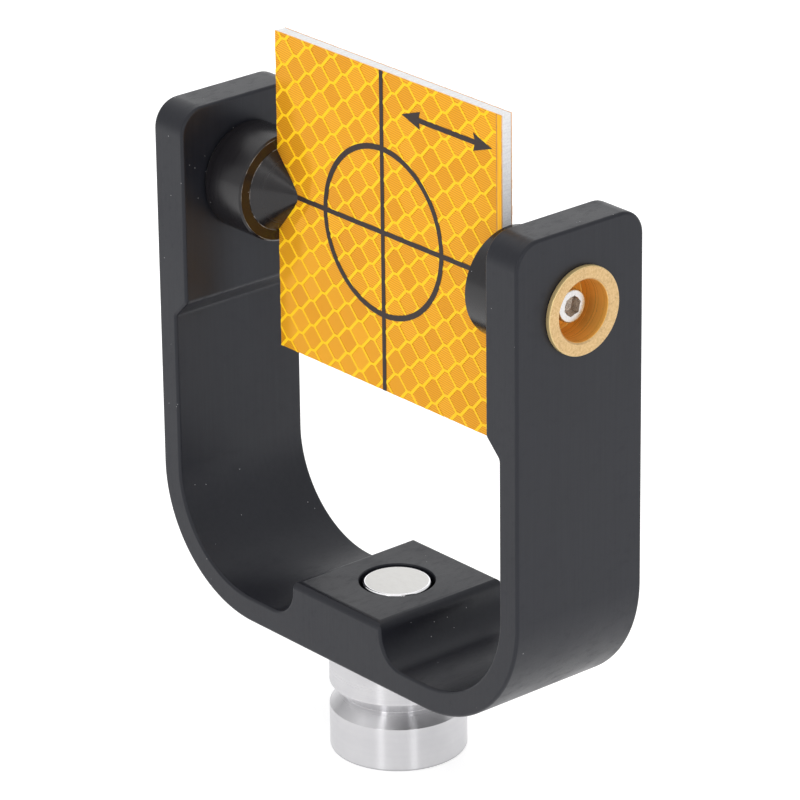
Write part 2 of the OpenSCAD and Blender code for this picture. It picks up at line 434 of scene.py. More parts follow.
def black_anodised():
    """Milled and satin anodised aluminium: fine grain, faint long streaks, scuffs and a little dust."""
    s = Shade("black_anodised")
    grain = s.noise(s.place(), 9, 3, 0.6)
    streak = s.noise(s.place((2.2, 1.4, 0.05)), 1, 4, 0.6)
    cloud = s.noise(s.place(), 0.07, 3)
    scuff = s.noise(s.place((0.9, 0.35, 0.6), (0.4, 0, 0.5)), 1, 5, 0.7)
    tone = s.mix(0.5, s.ramp(streak, (0.0085, 0.009, 0.013), (0.014, 0.0145, 0.019)),
                 s.ramp(cloud, (0.008, 0.0085, 0.012), (0.0145, 0.015, 0.020)))
    left_hub_foot = (-HEAD_IN_X, -5, AXIS_Z + 2)
    beside_hub = s.math("MULTIPLY", s.near(left_hub_foot, 15), 1.2)
    drift = s.between(s.noise(s.place(), 0.045, 2), 0.012, 0.4, low=0.5, high=0.72)
    dust = s.specks(DUST_CELLS, DUST_SIZE, s.math("MAXIMUM", drift, beside_hub))
    s.set(Base_Color=s.mix(dust, tone, DUST_TONE))
    scuffed = s.between(scuff, 0, 0.11, low=0.5, high=0.72)
    clouded = s.between(cloud, -0.04, 0.06, low=0.35, high=0.65)
    rough = s.math("ADD", s.math("ADD", s.between(grain, 0.32, 0.42), scuffed), clouded)
    s.set(Roughness=rough, Normal=s.bump(grain, 0.006, s.bump(streak, 0.012)))
    s.set(Specular_IOR_Level=0.32, Specular_Tint=(0.93, 0.95, 1.0, 1))
    return s.material


def black_turned():
    """Black anodised turned parts: shiny, faint tool marks, worn edges beside the plate lightened by a
    painted highlight.
    """
    s = Shade("black_turned")
    rings = s.about("X", AXIS_Z)
    fine = s.noise(rings, 7, 2)
    wide = s.noise(rings, 1.1, 3)
    tone = s.ramp(wide, (0.007, 0.006, 0.0075), (0.010, 0.009, 0.011))
    tone = s.mix(s.specks(DUST_CELLS, DUST_SIZE, 0.02), tone, DUST_TONE)
    along = s.math("ABSOLUTE", s.split(rings)["X"])
    # The pale grey on the narrow edge bands beside the plate is a painted highlight of their chamfers,
    # broken into patches like wear
    beside_plate = s.math("LESS_THAN", along, hub_low.x + 0.15)
    worn_edge_highlight = s.math("MULTIPLY", s.attribute("worn_edge_highlight"), beside_plate)
    patches = s.between(s.noise(s.place(), 0.45, 3), 0.05, 0.8, low=0.42, high=0.6)
    s.set(Base_Color=s.mix(s.math("MULTIPLY", worn_edge_highlight, patches), tone, (0.42, 0.40, 0.38, 1)))
    s.set(Roughness=s.between(wide, 0.22, 0.28), Normal=s.bump(fine, 0.0012))
    s.set(Specular_IOR_Level=0.45)
    s.drawn_round("X", 0.6)
    return s.material


def brass():
    """Turned brass with faint stains and small dark pits: pale outside, with a painted highlight on the
    flange's rim and a painted golden glow in the recess.
    """
    s = Shade("journal_brass")
    rings = s.about("X", AXIS_Z)
    fine = s.noise(rings, 8, 2)
    wide = s.noise(rings, 1.6, 3)
    stain = s.noise(s.place(), 0.45, 4, 0.6)
    grain = s.noise(s.place(), 2.2, 4, 0.7)
    tone = s.mix(0.5, s.ramp(wide, (0.46, 0.305, 0.13), (0.54, 0.365, 0.17)),
                 s.ramp(stain, (0.38, 0.25, 0.11), (0.54, 0.36, 0.165), high=0.55))
    tone = s.mix(s.between(grain, 0, 0.9, low=0.35, high=0.65), tone, (0.69, 0.49, 0.265, 1))
    radius = s.split(rings)["Y"]
    # Inside the recess the colour is a deeper, brighter gold: painted light of the brass walls lighting
    # each other
    inside = s.math("LESS_THAN", radius, RECESS_R + 0.06)
    painted_recess_glow = s.ramp(wide, (0.78, 0.42, 0.085), (0.90, 0.51, 0.12))
    tone = s.mix(inside, tone, painted_recess_glow)
    # The flange's rim is painted a paler gold: a painted highlight
    rim = s.math("GREATER_THAN", radius, journal_high.z - AXIS_Z - 0.12)
    tone = s.mix(rim, tone, (0.74, 0.56, 0.27, 1))
    pits = s.specks(1.6, 0.12, s.between(stain, 0.45, 0.05, low=0.4, high=0.65))
    s.set(Base_Color=s.mix(pits, tone, (0.34, 0.24, 0.12, 1)), Specular_IOR_Level=0.1)
    with_mouth = s.math("LESS_THAN", radius, RECESS_R + RECESS_CHAMFER)
    half_metal = s.math("MAXIMUM", rim, with_mouth)
    s.set(Metallic=s.between(half_metal, 1, 0.5, low=0, high=1))
    rough = s.math("ADD", s.between(fine, 0.30, 0.38), s.math("MULTIPLY", inside, -0.04))
    s.set(Roughness=rough, Normal=s.bump(grain, 0.006, s.bump(wide, 0.001)))
    return s.material


def turned_aluminium():
    """Bright turned aluminium: fine rings round the vertical axis that draw reflections out upright, and a
    painted shade along the bottom edge.
    """
    s = Shade("turned_aluminium")
    rings = s.about("Z")
    fine = s.noise(rings, 9, 2)
    wide = s.noise(rings, 0.9, 3)
    cloud = s.noise(s.place(), 0.25, 3)
    tone = s.mix(0.5, s.ramp(wide, (0.61, 0.605, 0.625), (0.65, 0.645, 0.66)),
                 s.ramp(cloud, (0.59, 0.585, 0.605), (0.66, 0.655, 0.67)))
    # Painted shade: the barrel darkens towards its bottom edge, where it stands on the floor
    painted_bottom_shade = s.between(s.split(rings)["X"], 0.6, 0, low=0.1, high=0.5)
    tone = s.mix(painted_bottom_shade, tone, (0.16, 0.16, 0.17, 1))
    s.set(Base_Color=tone, Metallic=1.0)
    s.set(Roughness=s.between(fine, 0.27, 0.33), Normal=s.bump(fine, 0.0015))
    s.drawn_round("Z", 1.0)
    return s.material


def satin_steel():
    """Satin faced steel of the pin: faint rings with handling marks, and a polished rim with a painted
    highlight.
    """
    s = Shade("satin_steel")
    rings = s.about("Z")
    fine = s.noise(rings, 8, 2)
    marks = s.noise(s.place((0.5, 0.9, 1), (0, 0, 0.6)), 1, 4, 0.6)
    tone = s.ramp(marks, (0.55, 0.54, 0.525), (0.63, 0.625, 0.61))
    # The rim is polished (lower roughness) and also painted near white: a painted highlight
    rim = s.math("GREATER_THAN", s.split(rings)["Y"], pin_high.x - PIN_RIM_R)
    s.set(Base_Color=s.mix(rim, tone, (0.88, 0.88, 0.90, 1)), Metallic=1.0)
    rough = s.math("SUBTRACT", s.between(marks, 0.30, 0.42), s.math("MULTIPLY", rim, 0.2))
    s.set(Roughness=rough, Normal=s.bump(fine, 0.003))
    return s.material


def spring_steel():
    """Dark plated steel of the spring and lock washers."""
    s = Shade("spring_steel")
    grain = s.noise(s.place(), 5, 3, 0.6)
    s.set(Base_Color=s.ramp(grain, (0.30, 0.31, 0.33), (0.45, 0.46, 0.48)), Metallic=1.0)
    s.set(Roughness=s.between(grain, 0.28, 0.42), Normal=s.bump(grain, 0.004))
    return s.material


def screw_steel():
    """Plated steel of the cap screws, with painted shade, darker and browner, inside the hexagonal socket.
    """
    s = Shade("screw_steel")
    grain = s.noise(s.place(), 3, 3, 0.6)
    bright = s.ramp(grain, (0.58, 0.565, 0.56), (0.72, 0.71, 0.71))
    painted_socket_shade = s.ramp(grain, (0.48, 0.42, 0.37), (0.66, 0.59, 0.53))
    where = s.split(s.about("X", AXIS_Z))
    # Painted shade inside the hexagonal socket: a darker, browner colour below the head's face
    deep = s.math("LESS_THAN", s.math("ABSOLUTE", where["X"]), screw_high.x - 0.03)
    inside = s.math("MULTIPLY", deep, s.math("LESS_THAN", where["Y"], SOCKET_AF * 0.6))
    s.set(Base_Color=s.mix(inside, bright, painted_socket_shade), Metallic=1.0)
    s.set(Roughness=s.between(grain, 0.24, 0.34), Normal=s.bump(grain, 0.004))
    return s.material


def washer_plastic(name, tone_low, tone_high):
    """Matt moulded plastic of the thrust and friction washers."""
    s = Shade(name)
    grain = s.noise(s.place(), 4, 4, 0.6)
    s.set(Base_Color=s.ramp(grain, tone_low, tone_high))
    s.set(Roughness=s.between(grain, 0.5, 0.65), Normal=s.bump(grain, 0.008))
    return s.material


def white_core():
    """White foamed core of the plate, with a speckled saw-cut edge."""
    s = Shade("white_core")
    speckle = s.noise(s.place(), 3.2, 4, 0.7)
    saw = s.noise(s.place((2.5, 0.3, 2.5)), 1, 3)
    tone = s.mix(0.5, s.ramp(speckle, (0.62, 0.62, 0.63), (0.86, 0.86, 0.86), low=0.35, high=0.6),
                 s.ramp(saw, (0.68, 0.68, 0.69), (0.86, 0.86, 0.86), low=0.35, high=0.65))
    s.set(Base_Color=tone, Roughness=s.between(speckle, 0.5, 0.7))
    s.set(Normal=s.bump(speckle, 0.02, s.bump(saw, 0.02)))
    return s.material


def sheet_cell():
    """Window of the prismatic sheet: fine prism lines, a tone of its own and a faint mirror of the arms."""
    s = Shade("sheet_cell")
    turned = s.place((1, 1, 1), (0, math.radians(-6), 0))
    wave = {"Vector": turned, "Scale": 0.74, "Distortion": 0.4, "Detail": 1.0}
    lines = s.node("ShaderNodeTexWave", wave, bands_direction="Z").outputs["Fac"]
    cloud = s.noise(s.place(), 0.9, 3)
    tone = s.mix(s.attribute("cell_tone"), (0.80, 0.36, 0.020, 1), (0.96, 0.48, 0.030, 1))
    tone = s.mix(s.between(cloud, 0, 0.3, low=0.35), tone, (0.90, 0.41, 0.018, 1))
    tone = s.mix(s.between(lines, 0, 0.7, low=0, high=1), tone, (0.52, 0.185, 0.006, 1))
    s.set(Base_Color=tone, Roughness=s.between(cloud, 0.05, 0.10))
    s.set(Metallic=0.15, Specular_IOR_Level=0.06, Coat_Weight=0.04, Coat_Roughness=0.05)
    s.set(Normal=s.bump(lines, 0.004))
    return s.material


def sheet_seam():
    """Bright welded seams between the cells."""
    s = Shade("sheet_seam")
    grain = s.noise(s.place(), 2.5, 3)
    s.set(Base_Color=s.ramp(grain, (1.0, 0.56, 0.008), (1.0, 0.64, 0.014)))
    s.set(Roughness=s.between(grain, 0.3, 0.45), Specular_IOR_Level=0.12)
    s.set(Normal=s.bump(grain, 0.01))
    return s.material


def sheet_edge():
    """Cut edge of the sheet, a deeper orange than its face."""
    s = Shade("sheet_edge")
    grain = s.noise(s.place(), 3, 3)
    s.set(Base_Color=s.ramp(grain, (0.72, 0.42, 0.24), (0.86, 0.56, 0.36)))
    s.set(Roughness=s.between(grain, 0.35, 0.5), Normal=s.bump(grain, 0.01))
    return s.material


def sheet_margin():
    """Plain strip between the score line and the sheet's edge."""
    s = Shade("sheet_margin")
    streak = s.noise(s.place((2.5, 1, 0.15)), 1, 3)
    s.set(Base_Color=s.ramp(streak, (0.88, 0.40, 0.016), (1.0, 0.52, 0.02)))
    s.set(Roughness=s.between(streak, 0.3, 0.42), Specular_IOR_Level=0.1)
    s.set(Normal=s.bump(streak, 0.004))
    return s.material


def ink():
    """Screen-printed dark brown ink with a faint gloss."""
    s = Shade("printed_ink")
    grain = s.noise(s.place(), 2.2, 4, 0.6)
    s.set(Base_Color=s.ramp(grain, (0.020, 0.011, 0.010), (0.036, 0.023, 0.021)))
    s.set(Roughness=s.between(grain, 0.3, 0.42), Specular_IOR_Level=0.25)
    s.set(Normal=s.bump(grain, 0.004))
    return s.material


def score_line():
    """Brown score line near the sheet's side edge."""
    s = Shade("score_line")
    grain = s.noise(s.place((1, 1, 0.4)), 2, 3)
    s.set(Base_Color=s.ramp(grain, (0.42, 0.17, 0.02), (0.62, 0.27, 0.03)))
    s.set(Roughness=s.between(grain, 0.4, 0.5), Normal=s.bump(grain, 0.01))
    return s.material


BLACK = black_anodised()
BLACK_TURNED = black_turned()
BRASS = brass()
ALUMINIUM = turned_aluminium()
SATIN = satin_steel()
SCREW = screw_steel()
SPRING = spring_steel()
NYLON = washer_plastic("washer_plastic", (0.72, 0.70, 0.62), (0.82, 0.80, 0.73))
FIBRE = washer_plastic("friction_plastic", (0.025, 0.025, 0.024), (0.05, 0.05, 0.048))
CORE = white_core()
CELL = sheet_cell()
SEAM = sheet_seam()
SHEET_EDGE = sheet_edge()
MARGIN = sheet_margin()
INK = ink()
SCORE = score_line()

# ---------------------------------------------------------------- yoke


def yoke_corners():
    """Front outline of the yoke as (x, z, radius) corners, bottom right round to bottom left."""
    w = yoke_high.x
    arm_in = w - ARM_T
    floor = yoke_low.z + FLOOR_T
    step_top = STEP_FOOT_Z + arm_in - HEAD_IN_X
    half = [
        (w, yoke_low.z, BEND_R), (w, yoke_high.z, 0),
        (HEAD_IN_X, yoke_high.z, 0), (HEAD_IN_X, step_top, STEP_ROUND),
        (arm_in, STEP_FOOT_Z, STEP_ROUND), (arm_in, floor, BEND_R - ARM_T),
        (BOSS_HALF, floor, BOSS_FOOT_R), (BOSS_HALF, BOSS_TOP_Z, BOSS_TOP_R),
    ]
    return half + [(-x, z, r) for x, z, r in reversed(half)]


def bevel(bm, chosen, size, steps):
    bmesh.ops.bevel(bm, geom=chosen, offset=size, segments=steps, profile=0.5, affect="EDGES")


def is_arm_corner(edge):
    """Says whether an edge runs along X at the very top of an arm."""
    a, b = (v.co for v in edge.verts)
    return all(abs(gap) < 1e-4 for gap in (a.z - yoke_high.z, b.z - yoke_high.z, a.y - b.y))


def bore_cutter(radius, low, high, flare, place=None):
    """Cutter of a bore whose two mouths open with a small round flare."""
    past_face = 0.04
    low -= past_face
    high += past_face
    outline = [(0, low - BEYOND), (radius + flare, low - BEYOND), (radius + flare, low)]
    steps = 4
    for k in range(1, steps + 1):
        angle = math.pi / 2 * k / steps
        outline.append((radius + flare * (1 - math.sin(angle)), low + flare * (1 - math.cos(angle))))
    for k in range(steps, -1, -1):
        angle = math.pi / 2 * k / steps
        outline.append((radius + flare * (1 - math.sin(angle)), high - flare * (1 - math.cos(angle))))
    outline += [(radius + flare, high + BEYOND), (0, high + BEYOND)]
    return turned_piece("cutter", outline, place)


def boss_edge_cutter(side):
    """Bar with a hollow corner that rounds the boss's long top edge, in front (-1) or behind (1)."""
    past_face = 0.02
    centre_y = yoke_high.y - BOSS_EDGE_R + past_face
    centre_z = BOSS_TOP_Z - BOSS_EDGE_R + past_face
    steps = 8
    outline = []
    for k in range(steps + 1):
        angle = math.pi / 2 * k / steps
        outline.append((centre_y + BOSS_EDGE_R * math.cos(angle), centre_z + BOSS_EDGE_R * math.sin(angle)))
    outline += [(centre_y, BOSS_TOP_Z + BEYOND), (yoke_high.y + BEYOND, BOSS_TOP_Z + BEYOND)]
    outline += [(yoke_high.y + BEYOND, centre_z)]
    half_length = BOSS_HALF + BEYOND
    bm = prism([(-half_length, side * y, z) for y, z in outline], (2 * half_length, 0, 0))
    return mesh_piece("cutter", bm)


def make_yoke():
    """U-shaped frame with thick arm heads, a boss on its floor and the three bores."""
    outline = [(x, yoke_low.y, z) for x, z in rounded(yoke_corners())]
    bm = prism(outline, (0, yoke_high.y - yoke_low.y, 0))
    bevel(bm, [e for e in bm.edges if is_arm_corner(e)], ARM_CORNER_R, 12)
    bevel(bm, [e for e in bm.edges if e.calc_face_angle() > math.radians(40)], EDGE_ROUND, 5)
    piece = mesh_piece("yoke_frame", bm)
    for side in (-1, 1):
        cut(piece, boss_edge_cutter(side))
    meeting_z = COUNTERBORE_Z + 1
    cut(piece, bore_cutter(SHOULDER_R + RUN_GAP, yoke_low.z, meeting_z, BORE_MOUTH_ROUND))
    cut(piece, bore_cutter(COUNTERBORE_R, meeting_z, BOSS_TOP_Z, BOSS_MOUTH_ROUND))
    for side in (-1, 1):
        place = on_tilt_axis(side)
        cut(piece, bore_cutter(JOURNAL_R + RUN_GAP, HEAD_IN_X, yoke_high.x, BORE_MOUTH_ROUND, place))
    stands_for(piece, "yoke", BLACK)


# ---------------------------------------------------------------- swivel: socket, pin and washers


def make_socket():
    """Barrel with a V groove outside and a 5/8 inch, 11 threads per inch, thread inside."""
    r = barrel_high.x
    thread_low, thread_high = 1, POLE_BORE_H - 0.8
    stud_r = PIN_THREAD_R + RUN_GAP
    outside = rounded([
        (POLE_BORE_R + 1.2, 0, 0.15), (r, 0, 0.4),
        (r, GROOVE_Z - GROOVE_H, 0.12), (r - GROOVE_H, GROOVE_Z, 0.12), (r, GROOVE_Z + GROOVE_H, 0.12),
        (r, barrel_high.z, 0.35), (stud_r, barrel_high.z, 0.2),
        (stud_r, POLE_BORE_H, 0.2), (POLE_BORE_R, POLE_BORE_H, 0),
        (POLE_BORE_R, thread_high, 0), (POLE_BORE_R, thread_low, 0),
    ])
    thread = stretch(POLE_BORE_R, thread_high, thread_low, POLE_PITCH / 14)
    outline = outside[:-2] + thread
    wave = helix(POLE_BORE_R, -1.1, POLE_PITCH, thread_low, thread_high)
    piece = turned_piece("pole_socket", outline, segments=FINE_SEGMENTS, radius_at=wave)
    stands_for(piece, "socket_barrel", ALUMINIUM)


def make_pin():
    """Pivot pin: a plain head in the boss, a shoulder through the floor, an M6 end below."""
    head_r = pin_high.x
    head_low = pin_high.z - PIN_HEAD_H
    tip_top = pin_low.z + M6_TIP
    shoulder_low = barrel_high.z
    corners = rounded([
        (0, pin_high.z, 0), (0, pin_low.z, 0), (PIN_THREAD_R - M6_TIP, pin_low.z, 0),
        (PIN_THREAD_R, tip_top, 0), (PIN_THREAD_R, shoulder_low, 0),
        (SHOULDER_R, shoulder_low, 0.2), (SHOULDER_R, head_low, 0),
        (head_r, head_low, 0.25), (head_r, pin_high.z, PIN_RIM_R),
    ])
    thread = stretch(PIN_THREAD_R, tip_top, shoulder_low, M6_PITCH / 10)
    outline = corners[:3] + thread + corners[5:]
    wave = helix(PIN_THREAD_R, 0.5, M6_PITCH, tip_top, shoulder_low)
    piece = turned_piece("pivot_pin_turned", outline, radius_at=wave)
    stands_for(piece, "pivot_pin", SATIN)


def ring_corners(outer_r, inner_r, low, high, cone=0):
    """Corners of a washer's section. A coned one is higher inside by cone."""
    corners = [(inner_r, low + cone), (outer_r, low), (outer_r, high), (inner_r, high + cone)]
    return [(r, z, WASHER_ROUND) for r, z in corners]


def make_swivel_washers():
    """Thrust washer under the yoke and coned spring washer under the pin's head."""
    flat = ring_corners(thrust_high.x, SHOULDER_R + RUN_GAP, thrust_low.z, thrust_high.z)
    thrust = turned_piece("thrust_ring", rounded(flat))
    stands_for(thrust, "thrust_washer", NYLON)
    spring_rise = spring_high.z - spring_low.z - SPRING_T
    coned = ring_corners(spring_high.x, SPRING_IN_R, spring_low.z, spring_low.z + SPRING_T, spring_rise)
    spring = turned_piece("coned_spring_ring", rounded(coned))
    stands_for(spring, "spring_washer", SPRING)


# ---------------------------------------------------------------- tilt axis pieces, one set per side


def make_hub(side, word):
    """Cylinder between the plate's edge and the arm, hollowed for the cone and its shank."""
    r = hub_high.z - AXIS_Z
    edge_r = 0.08
    cone_r = CONE_R + SEAT_GAP
    seat = PLATE_HALF + CONE_RIM + SEAT_GAP
    shank_end = cone_high.x + SEAT_GAP
    shank_r = CONE_SHANK_R + SEAT_GAP
    outline = rounded([
        (cone_r, hub_low.x, edge_r), (r - HUB_CHAMFER, hub_low.x, edge_r),
        (r, hub_low.x + HUB_CHAMFER, edge_r), (r, hub_high.x - HUB_CHAMFER, edge_r),
        (r - HUB_CHAMFER, hub_high.x, edge_r), (M3_CLEAR_R, hub_high.x, 0.15), (M3_CLEAR_R, shank_end, 0),
        (shank_r, shank_end, 0), (shank_r, seat, 0.1), (cone_r, seat, 0),
    ])
    piece = turned_piece("hub_turned_" + word, outline, on_tilt_axis(side), FINE_SEGMENTS)
    stands_for(piece, "hub_" + word, BLACK_TURNED)


def make_cone(side, word):
    """Cone that grips the plate's edge in its slot, tapped M3 from behind."""
    tapped_end = screw_low.x - 1
    drill_end = tapped_end - 0.9
    thread = stretch(M3_TAPPED_R, cone_high.x, tapped_end, M3_PITCH / 8)
    outline = rounded([
        (0, PLATE_HALF - CONE_H, 0), (CONE_R, PLATE_HALF, 0.1), (CONE_R, PLATE_HALF + CONE_RIM, 0.05),
        (CONE_SHANK_R, PLATE_HALF + CONE_RIM, 0), (CONE_SHANK_R, cone_high.x, 0.2),
    ]) + thread + [(0, drill_end)]
    wave = helix(M3_TAPPED_R, -0.2, M3_PITCH, tapped_end, cone_high.x)
    piece = turned_piece("cone_turned_" + word, outline, on_tilt_axis(side), radius_at=wave)
    slot_width = 2 * (SHEET_FACE + SEAT_GAP)
    slot_length = CONE_H + BEYOND
    middle = PLATE_HALF + SEAT_GAP - slot_length / 2
    slot = block((slot_length, slot_width, 2 * CONE_R + BEYOND), (side * middle, 0, AXIS_Z))
    cut(piece, mesh_piece("cutter", slot))
    stands_for(piece, "clamp_cone_" + word, BLACK_TURNED)


def make_journal(side, word):
    """Brass cup that turns in the arm: flange outside, recess for the screw inside."""
    flange_r = journal_high.z - AXIS_Z
    flange_in = journal_high.x - FLANGE_T
    floor = lock_low.x
    outline = rounded([
        (M3_CLEAR_R, journal_low.x, 0.15), (JOURNAL_R, journal_low.x, 0.3),
        (JOURNAL_R, flange_in, 0.1), (flange_r, flange_in, 0.15), (flange_r, journal_high.x, 0.22),
        (RECESS_R + RECESS_CHAMFER, journal_high.x, 0.06),
        (RECESS_R, journal_high.x - RECESS_CHAMFER, 0.1),
        (RECESS_R, floor, 0.25), (M3_CLEAR_R, floor, 0.12),
    ])
    piece = turned_piece("journal_cup_" + word, outline, on_tilt_axis(side), FINE_SEGMENTS)
    stands_for(piece, "journal_" + word, BRASS)


def make_friction_washer(side, word):
    """Thin washer between hub and arm."""
    outer_r = friction_high.z - AXIS_Z
    section = ring_corners(outer_r, JOURNAL_R + SEAT_GAP, friction_low.x, friction_high.x)
    piece = turned_piece("friction_ring_" + word, rounded(section), on_tilt_axis(side))
    stands_for(piece, "friction_washer_" + word, FIBRE)


def knurled_screw(head_r, low, high):
    """Radius function of the straight knurl on a screw's head and the thread on its shank."""
    knurl_depth = 0.07
    thread = helix(M3_R, 0.28, M3_PITCH, screw_low.x + M3_TIP, low - M3_UNDERCUT)

    def radius_at(radius, height, angle):
        if abs(radius - head_r) < SAME and low < height < high:
            return radius - knurl_depth * (0.5 - 0.5 * math.cos(angle * KNURL_RIDGES))
        return thread(radius, height, angle)

    return radius_at


def make_screw(side, word):
    """M3 cap screw: knurled head with a hexagon socket, threaded shank."""
    head_r = screw_high.z - AXIS_Z
    head_low = screw_high.x - M3_HEAD_H
    thread = stretch(M3_R, screw_low.x + M3_TIP, head_low - M3_UNDERCUT, M3_PITCH / 8)
    head = rounded([
        (0, screw_high.x, 0), (0, head_low, 0), (head_r, head_low, 0.1), (head_r, screw_high.x, 0.3),
    ])[2:]
    outline = [(0, screw_high.x), (0, screw_low.x), (M3_R - M3_TIP, screw_low.x)] + thread
    outline += [(M3_R, head_low)] + head
    shape = knurled_screw(head_r, head_low, screw_high.x)
    piece = turned_piece("cap_screw_" + word, outline, on_tilt_axis(side), 4 * KNURL_RIDGES, shape)
    cut(piece, socket_cutter(side))
    cut(piece, socket_lead_in(side))
    stands_for(piece, "screw_" + word, SCREW)


def socket_lead_in(side):
    """Small cone that eases the mouth of the hexagonal socket."""
    radius = SOCKET_AF / 2 + 0.1
    depth = 0.2
    mouth = screw_high.x
    above = 0.7
    outline = [(0, mouth + above), (radius + above, mouth + above)]
    outline += [(radius - depth, mouth - depth), (0, mouth - depth)]
    return turned_piece("cutter", outline, on_tilt_axis(side), 50)


def socket_cutter(side):
    """Hexagonal socket with a drilled cone at its floor."""
    corner_r = SOCKET_AF / 2 / math.cos(math.pi / 6)
    top = screw_high.x + BEYOND
    floor = screw_high.x - M3_SOCKET_H
    drill_tip = 0.5
    bm = bmesh.new()
    revolve(bm, [(0, top), (corner_r, top), (corner_r, floor), (0, floor - drill_tip)], 6)
    bm.transform(on_tilt_axis(side) @ Matrix.Rotation(math.radians(SOCKET_TURN), 4, "Z"))
    return mesh_piece("cutter", bm)


def make_lock_washer(side, word):
    """Split spring washer: a square wire turned almost once round, its ends a little apart."""
    outer_r = lock_high.z - AXIS_Z
    inner_r = 1.47
    gap_deg = 14
    lift = 0.1
    thickness = lock_high.x - lock_low.x - lift
    steps = 72
    bm = bmesh.new()
    rows = []
    for k in range(steps + 1):
        share = k / steps
        angle = math.radians(gap_deg / 2 + (360 - gap_deg) * share)
        low = lock_low.x + lift * share
        section = rounded(ring_corners(outer_r, inner_r, low, low + thickness), fewest=2)
        rows.append([bm.verts.new((r * math.cos(angle), r * math.sin(angle), h)) for r, h in section])
    for row, after in zip(rows, rows[1:]):
        for i in range(len(row)):
            j = (i + 1) % len(row)
            bm.faces.new((row[i], row[j], after[j], after[i]))
    bm.faces.new(rows[0])
    bm.faces.new(rows[-1])
    bmesh.ops.recalc_face_normals(bm, faces=bm.faces[:])
    bm.transform(on_tilt_axis(side))
    stands_for(mesh_piece("split_washer_" + word, bm), "lock_washer_" + word, SPRING)


# ---------------------------------------------------------------- plate, sheets and print

# Pattern of the sheet, read from the photo: pitch of its columns and rows, and widths of its seams
CELL_PITCH_X = 3.302
CELL_PITCH_Z = 4.77
CELL_PHASE = (2.07, 2.76)
SEAM_FLAT = 0.55
SEAM_RISING = 0.29
SEAM_FALLING = 0.21
SEAM_LEVEL = 0.23
CELL_DEPTH = 0.06
CELL_WALL = 0.06
CELL_LEAN_X = 0.022
CELL_LEAN_Z = 0.012
WINDOW_SLOT, SEAM_SLOT, EDGE_SLOT = 0, 1, 2
SCORE_X = 28.66
MARGIN_X = 28.96


def make_core():
    """Core of the plate, with its large faces in small squares."""
    size = (2 * PLATE_HALF, 2 * CORE_FACE, 2 * PLATE_HALF)
    bm = block(size, (0, 0, AXIS_Z))
    bevel(bm, bm.edges[:], 0.12, 2)
    long_edges = [e for e in bm.edges if e.calc_length() > PLATE_HALF]
    bmesh.ops.subdivide_edges(bm, edges=long_edges, cuts=60, use_grid_fill=True)
    stands_for(mesh_piece("plate_core_cut", bm), "plate_core", CORE)


def inset_hexagon(corners, margins):
    """Hexagon whose every side moves inwards by its own margin."""
    sides = []
    for i in range(6):
        a, b = Vector(corners[i]), Vector(corners[(i + 1) % 6])
        along = (b - a).normalized()
        inward = Vector((-along.y, along.x))
        sides.append((a + inward * margins[i], along))
    inner = []
    for i in range(6):
        (p, d), (q, e) = sides[i - 1], sides[i]
        share = (q - p).cross(e) / d.cross(e)
        inner.append(p + d * share)
    return inner


def add_cell(bm, tone_layer, centre, rng):
    """One cell of the sheet at (x, z): half seams around it, sloping walls and a slightly tilted window."""
    half_w = CELL_PITCH_X
    half_h = CELL_PITCH_Z / 2
    corners = [Vector(centre) + Vector(p) for p in (
        (half_w - SEAM_FLAT, 0), (SEAM_FLAT, half_h), (-SEAM_FLAT, half_h),
        (SEAM_FLAT - half_w, 0), (-SEAM_FLAT, -half_h), (SEAM_FLAT, -half_h))]
    margins = [SEAM_FALLING, SEAM_LEVEL, SEAM_RISING, SEAM_FALLING, SEAM_LEVEL, SEAM_RISING]
    rim = inset_hexagon(corners, margins)
    window = inset_hexagon(corners, [m + CELL_WALL for m in margins])
    tilt = (rng.uniform(-1, 1) * CELL_LEAN_X, rng.uniform(-1, 1) * CELL_LEAN_Z)
    tone = rng.random()

    def vert(point, depth):
        return bm.verts.new((point.x, depth, point.y))

    def floor(point):
        offset = point - Vector(centre)
        return CELL_DEPTH + offset.x * tilt[0] + offset.y * tilt[1]

    outer = [vert(p, 0) for p in corners]
    edge = [vert(p, 0) for p in rim]
    low = [vert(p, floor(p)) for p in window]
    faces = []
    for ring, after, slot in ((outer, edge, SEAM_SLOT), (edge, low, WINDOW_SLOT)):
        for i in range(6):
            j = (i + 1) % 6
            face = bm.faces.new((ring[i], ring[j], after[j], after[i]))
            face.material_index = slot
            faces.append(face)
    faces.append(bm.faces.new(low))
    for face in faces:
        face[tone_layer] = tone


def facing(side):
    """Matrix that turns what is made for the front (-1) to the front or the back (1)."""
    return Matrix.Rotation(0 if side < 0 else math.pi, 4, "Z")


